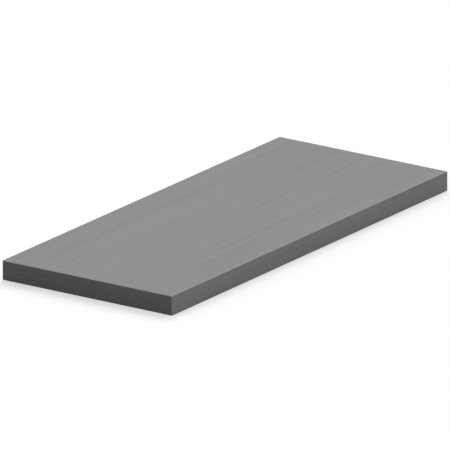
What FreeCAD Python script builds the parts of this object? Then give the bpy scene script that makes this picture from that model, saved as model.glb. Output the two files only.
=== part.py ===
import FreeCAD, Part
import math
import os

# A cut length of cold-drawn steel flat bar, lying on one of its wide faces.
# Drawing leaves the section with true faces and nearly sharp corners, and the
# length is sawn square at both ends, with the burr filed off all round.
# The length runs along X, the width along Y and the thickness along Z, and
# the origin is the centre of the bottom face.

# Driving dimensions, in millimetres
LENGTH = 304.8  # between the two sawn ends, a 12 in piece
WIDTH = 127.0  # across the wide faces, 5 in stock
THICKNESS = 12.7  # between the wide faces, 1/2 in stock
CORNER_RADIUS = 0.4  # of the four long corners, as the drawing die leaves them
END_BREAK = 0.3  # width of the 45 degree break filed round each sawn end

START = FreeCAD.Vector(-LENGTH / 2, 0, 0)
ALONG = FreeCAD.Vector(LENGTH, 0, 0)


def section_point(across, up):
    """A point of the section at the start of the bar, from its bottom centre."""
    return START + FreeCAD.Vector(0, across, up)


def section_corner(side, level):
    """The arc of one long corner, from its wide face to its narrow face.

    side is 1 or -1, for the narrow face at +Y or -Y, and level is 1 or -1,
    for the top or the bottom face.
    """
    across = side * (WIDTH / 2 - CORNER_RADIUS)
    up = THICKNESS / 2 + level * (THICKNESS / 2 - CORNER_RADIUS)
    halfway = CORNER_RADIUS * math.sqrt(0.5)
    arc = Part.Arc(
        section_point(across, up + level * CORNER_RADIUS),
        section_point(across + side * halfway, up + level * halfway),
        section_point(across + side * CORNER_RADIUS, up),
    )
    return arc.toShape()


def section_wire():
    """The drawn section: two wide and two narrow flats, joined by the corner arcs."""
    edges = [section_corner(side, level) for side in (1, -1) for level in (1, -1)]
    across = WIDTH / 2 - CORNER_RADIUS
    for up in (0, THICKNESS):
        edges.append(Part.makeLine(section_point(-across, up), section_point(across, up)))
    low, high = CORNER_RADIUS, THICKNESS - CORNER_RADIUS
    for across in (-WIDTH / 2, WIDTH / 2):
        edges.append(Part.makeLine(section_point(across, low), section_point(across, high)))
    return Part.Wire(Part.__sortEdges__(edges))


def drawn_length():
    """The section drawn out along the whole length."""
    return Part.Face(section_wire()).extrude(ALONG)


def sawn_block():
    """A square-cornered block of the same size, with the edges of its two ends broken."""
    block = Part.makeBox(LENGTH, WIDTH, THICKNESS, section_point(-WIDTH / 2, 0))
    end_edges = [edge for edge in block.Edges if edge.BoundBox.XLength < edge.Length / 2]
    return block.makeChamfer(END_BREAK, end_edges)


def flat_bar():
    """The finished bar: what the drawn length and the sawn block have in common."""
    bar = drawn_length().common(sawn_block()).removeSplitter()
    if not bar.isValid() or len(bar.Solids) != 1:
        raise ValueError("the bar is not one valid solid")
    return bar.Solids[0]


os.makedirs("parts", exist_ok=True)
flat_bar().exportStep("parts/flat_bar.step")
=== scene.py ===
import math

import bmesh
import bpy
from bpy.props import FloatProperty, FloatVectorProperty, PointerProperty
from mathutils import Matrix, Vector, noise


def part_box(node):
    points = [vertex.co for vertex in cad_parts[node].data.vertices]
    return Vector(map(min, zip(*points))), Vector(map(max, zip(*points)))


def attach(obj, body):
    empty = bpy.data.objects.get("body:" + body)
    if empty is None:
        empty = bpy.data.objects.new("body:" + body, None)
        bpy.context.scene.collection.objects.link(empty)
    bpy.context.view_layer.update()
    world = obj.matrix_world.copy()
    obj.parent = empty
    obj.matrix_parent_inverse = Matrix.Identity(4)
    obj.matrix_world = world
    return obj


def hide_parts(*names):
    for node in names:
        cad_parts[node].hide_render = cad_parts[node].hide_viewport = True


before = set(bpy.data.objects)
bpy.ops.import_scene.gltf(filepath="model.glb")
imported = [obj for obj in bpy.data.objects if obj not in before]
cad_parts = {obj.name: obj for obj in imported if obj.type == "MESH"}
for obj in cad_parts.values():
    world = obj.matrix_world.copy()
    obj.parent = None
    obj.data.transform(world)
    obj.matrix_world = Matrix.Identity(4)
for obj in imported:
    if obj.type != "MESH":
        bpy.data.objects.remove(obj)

bl_info = {
    "name": "Cold-drawn flat bar",
    "version": (1, 0, 0),
    "blender": (4, 5, 0),
    "location": "3D View > Sidebar > Flat bar",
    "description": "Dresses a cut length of cold-drawn steel flat bar and sets its studio",
    "category": "Add Mesh",
}

MM = 0.001
BAR_NODE = "flat_bar"
LOW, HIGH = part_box(BAR_NODE)
SIZE = HIGH - LOW

# How finely the bar is divided. The ends need the most, because their saw marks are modelled
COLUMNS = 150  # across the width
ROWS = 66  # up the thickness
CORNER_STEPS = 5  # round each long corner
BREAK_STEPS = 6  # over each end break
BODY_STEPS = 12  # along the drawn skin between the breaks

DRAWN, SAWN = 0, 1  # the material slots of the piece
MAP_GAP = 1.5 * MM  # between the parts of the flat map, at the bar's own scale
END_ZOOM = 2  # how much larger the ends are on the flat map, for the sake of their fine scratches

NOISE_LOW, NOISE_HIGH = 0.35, 0.65  # nearly all of a noise lies between these

BARE_SHARE = 0.5  # how much of the steel's own shine comes through the dry film on it
FILM_GLOSS = 0.0  # the film has no gloss of its own
EDGE_TINT = (0.5, 0.5, 0.5, 1)  # halves the shine that a plain metal has at a nearly grazing view

# Name, share of the light on the floor, width in degrees as the bar sees it, and direction to it.
# The shares add up to 1, at which a colour renders as written
LAMPS = (
    ("overhead_dome", 0.7, 160, (0, 0, 1)),
    ("key_softbox", 0.3, 40, (0.9, 0.3, 1.0)),
)
FLOOR_REACH = 30.0  # metres from the middle to each side, past the horizon of a low camera
FLOOR_GLOW = 0.42  # what a floor seen directly adds to its own colour to reach white


def linear(code):
    """Linear colour of an sRGB hex code such as #6A6A6A."""
    parts = [int(code[at : at + 2], 16) / 255 for at in (1, 3, 5)]
    return tuple(c / 12.92 if c <= 0.04045 else ((c + 0.055) / 1.055) ** 2.4 for c in parts)


def node(tree, kind, inputs=None, **settings):
    """Adds a node. inputs maps a socket's name or number to a value or to an output to link."""
    made = tree.nodes.new("ShaderNode" + kind)
    for name, value in settings.items():
        setattr(made, name, value)
    for socket, value in (inputs or {}).items():
        if isinstance(value, bpy.types.NodeSocket):
            tree.links.new(value, made.inputs[socket])
        else:
            made.inputs[socket].default_value = value
    return made


def empty_material(name):
    """A material with no nodes yet, and its node tree."""
    material = bpy.data.materials.new(name)
    material.use_nodes = True
    material.node_tree.nodes.clear()
    return material, material.node_tree


def grain(tree, place, lengths, detail):
    """Noise that fills 0 to 1, with cells as long as lengths, in metres along X, Y and Z."""
    scale = [1 / length for length in lengths]
    scaled = node(tree, "Mapping", {"Vector": place, "Scale": scale})
    raw = node(tree, "TexNoise", {"Vector": scaled.outputs[0], "Scale": 1.0, "Detail": detail})
    full = node(tree, "MapRange", {0: raw.outputs[0], 1: NOISE_LOW, 2: NOISE_HIGH})
    return full.outputs[0]


class FLATBAR_PG_bar(bpy.types.PropertyGroup):
    """Sizes and colours of the bar."""

    length: FloatProperty(
        name="Length", description="Between the two sawn ends", default=SIZE.x, unit="LENGTH"
    )
    width: FloatProperty(
        name="Width", description="Across the wide faces", default=SIZE.y, unit="LENGTH"
    )
    thickness: FloatProperty(
        name="Thickness", description="Between the wide faces", default=SIZE.z, unit="LENGTH"
    )
    corner_radius: FloatProperty(
        name="Corner radius",
        description="Radius that the drawing die leaves on the four long corners",
        default=0.4 * MM,
        unit="LENGTH",
        precision=5,
    )
    end_break: FloatProperty(
        name="End break",
        description="Width of the break filed round each sawn end",
        default=0.3 * MM,
        unit="LENGTH",
        precision=5,
    )
    saw_pitch: FloatProperty(
        name="Saw wave pitch",
        description="Distance between the waves that the saw blade leaves on an end",
        default=1.3 * MM,
        unit="LENGTH",
        precision=5,
    )
    saw_depth: FloatProperty(
        name="Saw wave depth",
        description="Depth of the deepest saw wave",
        default=0.04 * MM,
        unit="LENGTH",
        precision=5,
    )
    saw_slant: FloatProperty(
        name="Saw mark slant",
        description="Angle between the saw marks and the wide faces",
        default=math.radians(2.5),
        subtype="ANGLE",
    )
    drawn_dark: FloatVectorProperty(
        name="Drawn skin, dark streak",
        description="Colour of the drawn faces in their darker streaks",
        default=linear("#747474"),
        subtype="COLOR",
    )
    drawn_light: FloatVectorProperty(
        name="Drawn skin, light streak",
        description="Colour of the drawn faces in their lighter streaks",
        default=linear("#7A7A7A"),
        subtype="COLOR",
    )
    # The sawn ends' colours hold painted shade: they are darker than the drawn skin to stand for the shade
    # that the end is in. The change from scratch to ridge is the cut's own.
    sawn_dark_painted_shade: FloatVectorProperty(
        name="Sawn end, dark scratch",
        description="Colour of the sawn ends in the scratches",
        default=linear("#505050"),
        subtype="COLOR",
    )
    sawn_light_painted_shade: FloatVectorProperty(
        name="Sawn end, light ridge",
        description="Colour of the sawn ends between the scratches",
        default=linear("#5A5A5A"),
        subtype="COLOR",
    )


class FLATBAR_PG_stage(bpy.types.PropertyGroup):
    """The floor and the camera."""

    azimuth: FloatProperty(
        name="Camera azimuth",
        description="Turn of the camera round the bar, from looking along +Y",
        default=math.radians(-55.69),
        subtype="ANGLE",
    )
    elevation: FloatProperty(
        name="Camera elevation",
        description="Height of the camera above the horizon",
        default=math.radians(17.904),
        subtype="ANGLE",
    )
    distance: FloatProperty(
        name="Camera distance",
        description="From the camera to its aim point",
        default=13.209,
        unit="LENGTH",
    )
    lens: FloatProperty(
        name="Camera lens",
        description="Focal length in millimetres, so long that parallel edges look parallel",
        default=1700,
    )
    aim_right: FloatProperty(
        name="Aim to the right",
        description="How far the camera aims to the right of the bar's centre",
        default=-0.91 * MM,
        unit="LENGTH",
    )
    aim_up: FloatProperty(
        name="Aim upwards",
        description="How far the camera aims above the bar's centre",
        default=0.16 * MM,
        unit="LENGTH",
    )
    floor: FloatVectorProperty(
        name="Floor", description="Colour of the floor", default=linear("#CBCBCB"), subtype="COLOR"
    )


def core_point(bar, column, row):
    """A point of the section's core, in Y and Z.

    The core is the section less the corner radius all round. It is divided
    into COLUMNS and ROWS, counted from its lower corner at -Y.
    """
    radius = bar.corner_radius
    return Vector(
        (
            (bar.width - 2 * radius) * (column / COLUMNS - 0.5),
            radius + (bar.thickness - 2 * radius) * row / ROWS,
        )
    )


def section_outline():
    """Round the section, as pairs of a point on the core's rim and the direction outward from it.

    The point is given by its column and row. A corner of the core comes
    several times, once for each step round its arc.
    """
    corners = [(0, 0), (COLUMNS, 0), (COLUMNS, ROWS), (0, ROWS)]
    outline = []
    for side, (column, row) in enumerate(corners):
        next_column, next_row = corners[(side + 1) % 4]
        steps = max(abs(next_column - column), abs(next_row - row))
        for step in range(steps + CORNER_STEPS):
            share = min(step, steps) / steps
            turn = max(0, step - steps) / CORNER_STEPS
            angle = math.radians(90) * (side - 1 + turn)
            point = (
                round(column + (next_column - column) * share),
                round(row + (next_row - row) * share),
            )
            outline.append((point, Vector((math.cos(angle), math.sin(angle)))))
    return outline


def stations_along(bar):
    """Places along the bar where the mesh has a ring, as pairs of X and inset.

    The inset is how far the ring lies inside the full section. It goes from
    the whole end break at a sawn end to nothing where the drawn skin starts.
    """
    half = bar.length / 2
    flatness = 1.3  # 1 is a straight 45 degree break, and 2 a round one
    rim = []
    for step in range(BREAK_STEPS):
        turn = math.radians(90) * step / BREAK_STEPS
        back = bar.end_break * (1 - math.cos(turn) ** (2 / flatness))
        inset = bar.end_break * (1 - math.sin(turn) ** (2 / flatness))
        rim.append((half - back, inset))
    reach = half - bar.end_break
    body = [(reach * (2 * step / BODY_STEPS - 1), 0.0) for step in range(BODY_STEPS + 1)]
    return [(-x, inset) for x, inset in rim] + body + rim[::-1]


def saw_mark(bar, y, z, seed):
    """Depth of the saw marks at a point of an end.

    The blade crosses the width and leaves straight, slightly slanted waves.
    Their pitch drifts a little, and they are not all cut equally deep.
    """
    drift_waves = 3  # over so many waves their pitch drifts
    force_waves, force_run = 2, 120 * MM  # over so many, and so far along one, the depth changes
    mean_force, least_force = 0.6, 0.15  # as shares of the full depth
    across = z * math.cos(bar.saw_slant) - y * math.sin(bar.saw_slant)
    along = y * math.cos(bar.saw_slant) + z * math.sin(bar.saw_slant)
    waves = across / bar.saw_pitch
    drift = noise.noise(Vector((waves / drift_waves, 0, seed)))
    wave = 0.5 - 0.5 * math.cos(2 * math.pi * (waves + drift))
    force = mean_force + noise.noise(Vector((waves / force_waves, along / force_run, seed)))
    return bar.saw_depth * wave * min(1.0, max(least_force, force))


def lengths_along(points):
    """Distance of each point from the first, along the line through them all."""
    lengths = [0.0]
    for before, after in zip(points, points[1:]):
        lengths.append(lengths[-1] + (Vector(after) - Vector(before)).length)
    return lengths


def add_face(made, corners, places, material):
    """Adds a smooth face. places are its corners on the flat map, in metres."""
    face = made.faces.new(corners)
    face.material_index = material
    face.smooth = True
    flat_map = made.loops.layers.uv.active
    for loop, place in zip(face.loops, places):
        loop[flat_map].uv = place


def add_drawn_skin(made, bar, outline, stations, rings):
    """The four drawn faces with their corners and the end breaks, unrolled on the flat map.

    Returns the height that they take up there.
    """
    full_ring = [core_point(bar, *point) + out * bar.corner_radius for point, out in outline]
    heights = lengths_along(full_ring + full_ring[:1])
    widths = lengths_along(stations)
    for at, (ring, next_ring) in enumerate(zip(rings, rings[1:])):
        for k in range(len(ring)):
            after = (k + 1) % len(ring)
            corners = (ring[k], next_ring[k], next_ring[after], ring[after])
            places = (
                (widths[at], heights[k]),
                (widths[at + 1], heights[k]),
                (widths[at + 1], heights[k + 1]),
                (widths[at], heights[k + 1]),
            )
            add_face(made, corners, places, DRAWN)
    return heights[-1]


def add_sawn_end(made, bar, outline, rim, sign, map_low):
    """One end: a fine grid that holds the saw marks, joined to the rim inside the filed break.

    map_low is the height on the flat map at which it starts.
    """

    def add(*corners):
        places = [
            ((corner.co.y + bar.width / 2) * END_ZOOM, corner.co.z * END_ZOOM + map_low)
            for corner in corners
        ]
        add_face(made, corners, places, SAWN)

    grid = {}
    for column in range(COLUMNS + 1):
        for row in range(ROWS + 1):
            y, z = core_point(bar, column, row)
            x = sign * (bar.length / 2 - saw_mark(bar, y, z, seed=sign))
            grid[column, row] = made.verts.new((x, y, z))
    for column in range(COLUMNS):
        for row in range(ROWS):
            add(
                grid[column, row],
                grid[column + 1, row],
                grid[column + 1, row + 1],
                grid[column, row + 1],
            )
    for k, (point, out) in enumerate(outline):
        after = (k + 1) % len(outline)
        inner, next_inner = grid[point], grid[outline[after][0]]
        if inner is next_inner:
            add(rim[k], rim[after], inner)
        else:
            add(rim[k], rim[after], next_inner, inner)


def bar_mesh(bar):
    """The whole bar as one closed mesh, with one flat map of all its faces."""
    outline = section_outline()
    stations = stations_along(bar)
    made = bmesh.new()
    flat_map = made.loops.layers.uv.new("OFBake")  # the name of the flat map of all faces
    rings = []
    for x, inset in stations:
        reach = bar.corner_radius - inset
        ring = [core_point(bar, *point) + out * reach for point, out in outline]
        rings.append([made.verts.new((x, *place)) for place in ring])
    map_low = add_drawn_skin(made, bar, outline, stations, rings)
    for sign, rim in ((-1, rings[0]), (1, rings[-1])):
        map_low += MAP_GAP
        add_sawn_end(made, bar, outline, rim, sign, map_low)
        map_low += bar.thickness * END_ZOOM

    loops = [loop for face in made.faces for loop in face.loops]
    side = max(max(loop[flat_map].uv) for loop in loops) + 2 * MAP_GAP
    for loop in loops:
        loop[flat_map].uv = [(part + MAP_GAP) / side for part in loop[flat_map].uv]
    bmesh.ops.recalc_face_normals(made, faces=made.faces)
    mesh = bpy.data.meshes.new("drawn_bar")
    made.to_mesh(mesh)
    made.free()
    return mesh


def drawn_steel(bar):
    """Cold-drawn low-carbon steel, as it leaves the die.

    The die irons the skin to an even satin, with faint streaks and fine lines
    that run the whole length. A thin dry film of lime and drawing soap stays
    on it, and turns the bright metal to a half matt grey.
    """
    dull, ironed = 0.41, 0.36  # roughness of the dark and of the light streaks
    film_dulling = 0.04  # the most that the film adds to it
    streak_depth, line_depth = 0.006 * MM, 0.002 * MM
    material, tree = empty_material("cold_drawn_steel")
    place = node(tree, "TexCoord").outputs["Object"]
    streak = grain(tree, place, (260 * MM, 2.4 * MM, 2.4 * MM), detail=3.0)
    # Die lines are about 0.05 mm apart on the real bar, too fine to show, so they are drawn 0.6 mm apart
    line = grain(tree, place, (400 * MM, 0.6 * MM, 0.6 * MM), detail=2.0)
    film = grain(tree, place, (60 * MM, 20 * MM, 20 * MM), detail=2.0)
    colour = node(
        tree,
        "Mix",
        {0: streak, 6: (*bar.drawn_dark, 1), 7: (*bar.drawn_light, 1)},
        data_type="RGBA",
    )
    # The light streaks are the better ironed ones, and the film dulls the skin unevenly
    skin = node(tree, "Mix", {0: streak, 2: dull, 3: ironed}).outputs[0]
    roughness = node(tree, "Math", {0: film, 1: film_dulling, 2: skin}, operation="MULTIPLY_ADD")
    wave = node(tree, "Bump", {"Distance": streak_depth, "Height": streak}).outputs[0]
    relief = node(tree, "Bump", {"Distance": line_depth, "Height": line, "Normal": wave})
    steel = node(
        tree,
        "BsdfPrincipled",
        {
            "Base Color": colour.outputs[2],
            "Metallic": BARE_SHARE,
            "Specular IOR Level": FILM_GLOSS,
            "Specular Tint": EDGE_TINT,
            "Roughness": roughness.outputs[0],
            "Normal": relief.outputs[0],
        },
    )
    node(tree, "OutputMaterial", {"Surface": steel.outputs[0]})
    return material


def sawn_steel(bar):
    """The same steel where a band saw cut it across.

    Each tooth ploughs a straight scratch along the blade's path, so the cut
    has parallel lines across the width. Its torn metal is rougher than the
    drawn skin, and its colours are darker as painted shade, for the shade
    that the end is in.
    """
    torn, ridge = 0.6, 0.48  # roughness in the scratches and between them
    gouge_share = 0.2
    cut_depth = 0.006 * MM
    material, tree = empty_material("band_sawn_steel")
    place = node(tree, "TexCoord").outputs["Object"]
    turned = node(tree, "Mapping", {"Vector": place, "Rotation": (-bar.saw_slant, 0, 0)}).outputs[0]
    # Tooth scratches are about 0.1 mm apart, too fine to show, so they are drawn 0.3 mm apart
    scratch = grain(tree, turned, (50 * MM, 90 * MM, 0.3 * MM), detail=2.0)
    gouge = grain(tree, turned, (50 * MM, 70 * MM, 1.1 * MM), detail=1.0)
    # Mostly scratches, with a share of the wider gouges that the set teeth leave
    cut = node(tree, "Mix", {0: gouge_share, 2: scratch, 3: gouge}).outputs[0]
    # Painted shade: the end's colours are darker than the drawn skin's to stand for shade, not for a darker
    # metal
    colour = node(
        tree,
        "Mix",
        {0: cut, 6: (*bar.sawn_dark_painted_shade, 1), 7: (*bar.sawn_light_painted_shade, 1)},
        data_type="RGBA",
    )
    roughness = node(tree, "Mix", {0: cut, 2: torn, 3: ridge})
    relief = node(tree, "Bump", {"Distance": cut_depth, "Height": cut})
    steel = node(
        tree,
        "BsdfPrincipled",
        {
            "Base Color": colour.outputs[2],
            "Metallic": BARE_SHARE,
            "Specular IOR Level": FILM_GLOSS,
            "Specular Tint": EDGE_TINT,
            "Roughness": roughness.outputs[0],
            "Normal": relief.outputs[0],
        },
    )
    node(tree, "OutputMaterial", {"Surface": steel.outputs[0]})
    return material


def seen_directly(tree):
    """1 for the camera's own rays and for those that metal or glass passes on, and 0 for light."""
    path = node(tree, "LightPath")
    first = node(
        tree,
        "Math",
        {0: path.outputs["Is Camera Ray"], 1: path.outputs["Is Glossy Ray"]},
        operation="MAXIMUM",
    )
    seen = node(
        tree,
        "Math",
        {0: first.outputs[0], 1: path.outputs["Is Transmission Ray"]},
        operation="MAXIMUM",
    )
    return seen.outputs[0]


def studio_paper(stage):
    """Matt white background paper, as made on a roll: an even pale sheet with no gloss.

    Seen directly it glows up to white, and it lights the bar only by its own colour.
    """
    material, tree = empty_material("matt_white_paper")
    paper = node(tree, "BsdfDiffuse", {"Color": (*stage.floor, 1)})
    glow = node(tree, "Emission", {"Strength": FLOOR_GLOW})
    both = node(tree, "AddShader", {0: paper.outputs[0], 1: glow.outputs[0]})
    surface = node(
        tree,
        "MixShader",
        {0: seen_directly(tree), 1: paper.outputs[0], 2: both.outputs[0]},
    )
    node(tree, "OutputMaterial", {"Surface": surface.outputs[0]})
    return material


class FLATBAR_OT_bar(bpy.types.Operator):
    """Makes the dressed bar, which stands for the plain one"""

    bl_idname = "flatbar.bar"
    bl_label = "Make the bar"

    def execute(self, context):
        bar = context.scene.flat_bar
        piece = bpy.data.objects.new("drawn_bar", bar_mesh(bar))
        context.scene.collection.objects.link(piece)
        for material in (drawn_steel(bar), sawn_steel(bar)):
            piece.data.materials.append(material)
        weighted = piece.modifiers.new("flat_faces_stay_flat", "WEIGHTED_NORMAL")
        weighted.mode = "FACE_AREA"
        weighted.weight = 100  # the most, at which the largest face at a point sets its shading
        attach(piece, "root")
        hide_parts(BAR_NODE)
        return {"FINISHED"}


class FLATBAR_OT_stage(bpy.types.Operator):
    """Sets the floor, the soft light and the camera"""

    bl_idname = "flatbar.stage"
    bl_label = "Set the stage"

    def execute(self, context):
        stage = context.scene.flat_bar_stage
        self.add_floor(context, stage)
        self.add_light(context)
        self.add_camera(context, stage)
        context.scene.view_settings.view_transform = "Standard"
        return {"FINISHED"}

    def add_floor(self, context, stage):
        made = bmesh.new()
        bmesh.ops.create_grid(made, x_segments=1, y_segments=1, size=FLOOR_REACH)
        mesh = bpy.data.meshes.new("floor")
        made.to_mesh(mesh)
        made.free()
        mesh.materials.append(studio_paper(stage))
        floor = bpy.data.objects.new("floor", mesh)
        floor.location.z = LOW.z
        context.scene.collection.objects.link(floor)

    def add_light(self, context):
        world = bpy.data.worlds.new("white_studio")
        world.use_nodes = True
        tree = world.node_tree
        tree.nodes.clear()
        white = node(tree, "Background", {"Color": (1, 1, 1, 1), "Strength": seen_directly(tree)})
        node(tree, "OutputWorld", {"Surface": white.outputs[0]})
        context.scene.world = world
        for name, share, angle, towards in LAMPS:
            light = bpy.data.lights.new(name, "SUN")
            towards = Vector(towards).normalized()
            # At a strength of pi a lamp straight above lights the floor fully, and a slanted one needs more
            light.energy = share * math.pi / towards.z
            light.angle = math.radians(angle)
            lamp = bpy.data.objects.new(name, light)
            lamp.rotation_euler = towards.to_track_quat("Z", "Y").to_euler()
            context.scene.collection.objects.link(lamp)

    def add_camera(self, context, stage):
        azimuth, elevation = stage.azimuth, stage.elevation
        back = Vector(
            (
                math.sin(azimuth) * math.cos(elevation),
                -math.cos(azimuth) * math.cos(elevation),
                math.sin(elevation),
            )
        )
        right = Vector((math.cos(azimuth), math.sin(azimuth), 0))
        up = back.cross(right)
        aim = (LOW + HIGH) / 2 + right * stage.aim_right + up * stage.aim_up
        data = bpy.data.cameras.new("camera")
        data.lens = stage.lens
        data.clip_end = 2 * FLOOR_REACH
        camera = bpy.data.objects.new("camera", data)
        camera.location = aim + back * stage.distance
        camera.rotation_euler = back.to_track_quat("Z", "Y").to_euler()
        context.scene.collection.objects.link(camera)
        context.scene.camera = camera


class FLATBAR_PT_sidebar(bpy.types.Panel):
    """Lists the bar's and the stage's settings and operators"""

    bl_idname = "FLATBAR_PT_sidebar"
    bl_label = "Flat bar"
    bl_space_type = "VIEW_3D"
    bl_region_type = "UI"
    bl_category = "Flat bar"

    def draw(self, context):
        scene = context.scene
        for settings, operator in (
            (scene.flat_bar, FLATBAR_OT_bar),
            (scene.flat_bar_stage, FLATBAR_OT_stage),
        ):
            column = self.layout.column()
            for name in settings.__annotations__:
                column.prop(settings, name)
            column.operator(operator.bl_idname)


CLASSES = (
    FLATBAR_PG_bar,
    FLATBAR_PG_stage,
    FLATBAR_OT_bar,
    FLATBAR_OT_stage,
    FLATBAR_PT_sidebar,
)


def register():
    for each in CLASSES:
        bpy.utils.register_class(each)
    bpy.types.Scene.flat_bar = PointerProperty(type=FLATBAR_PG_bar)
    bpy.types.Scene.flat_bar_stage = PointerProperty(type=FLATBAR_PG_stage)


def unregister():
    del bpy.types.Scene.flat_bar_stage
    del bpy.types.Scene.flat_bar
    for each in reversed(CLASSES):
        bpy.utils.unregister_class(each)


def main():
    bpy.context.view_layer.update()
    register()
    bpy.ops.flatbar.bar()
    bpy.ops.flatbar.stage()


if __name__ == "__main__":
    main()
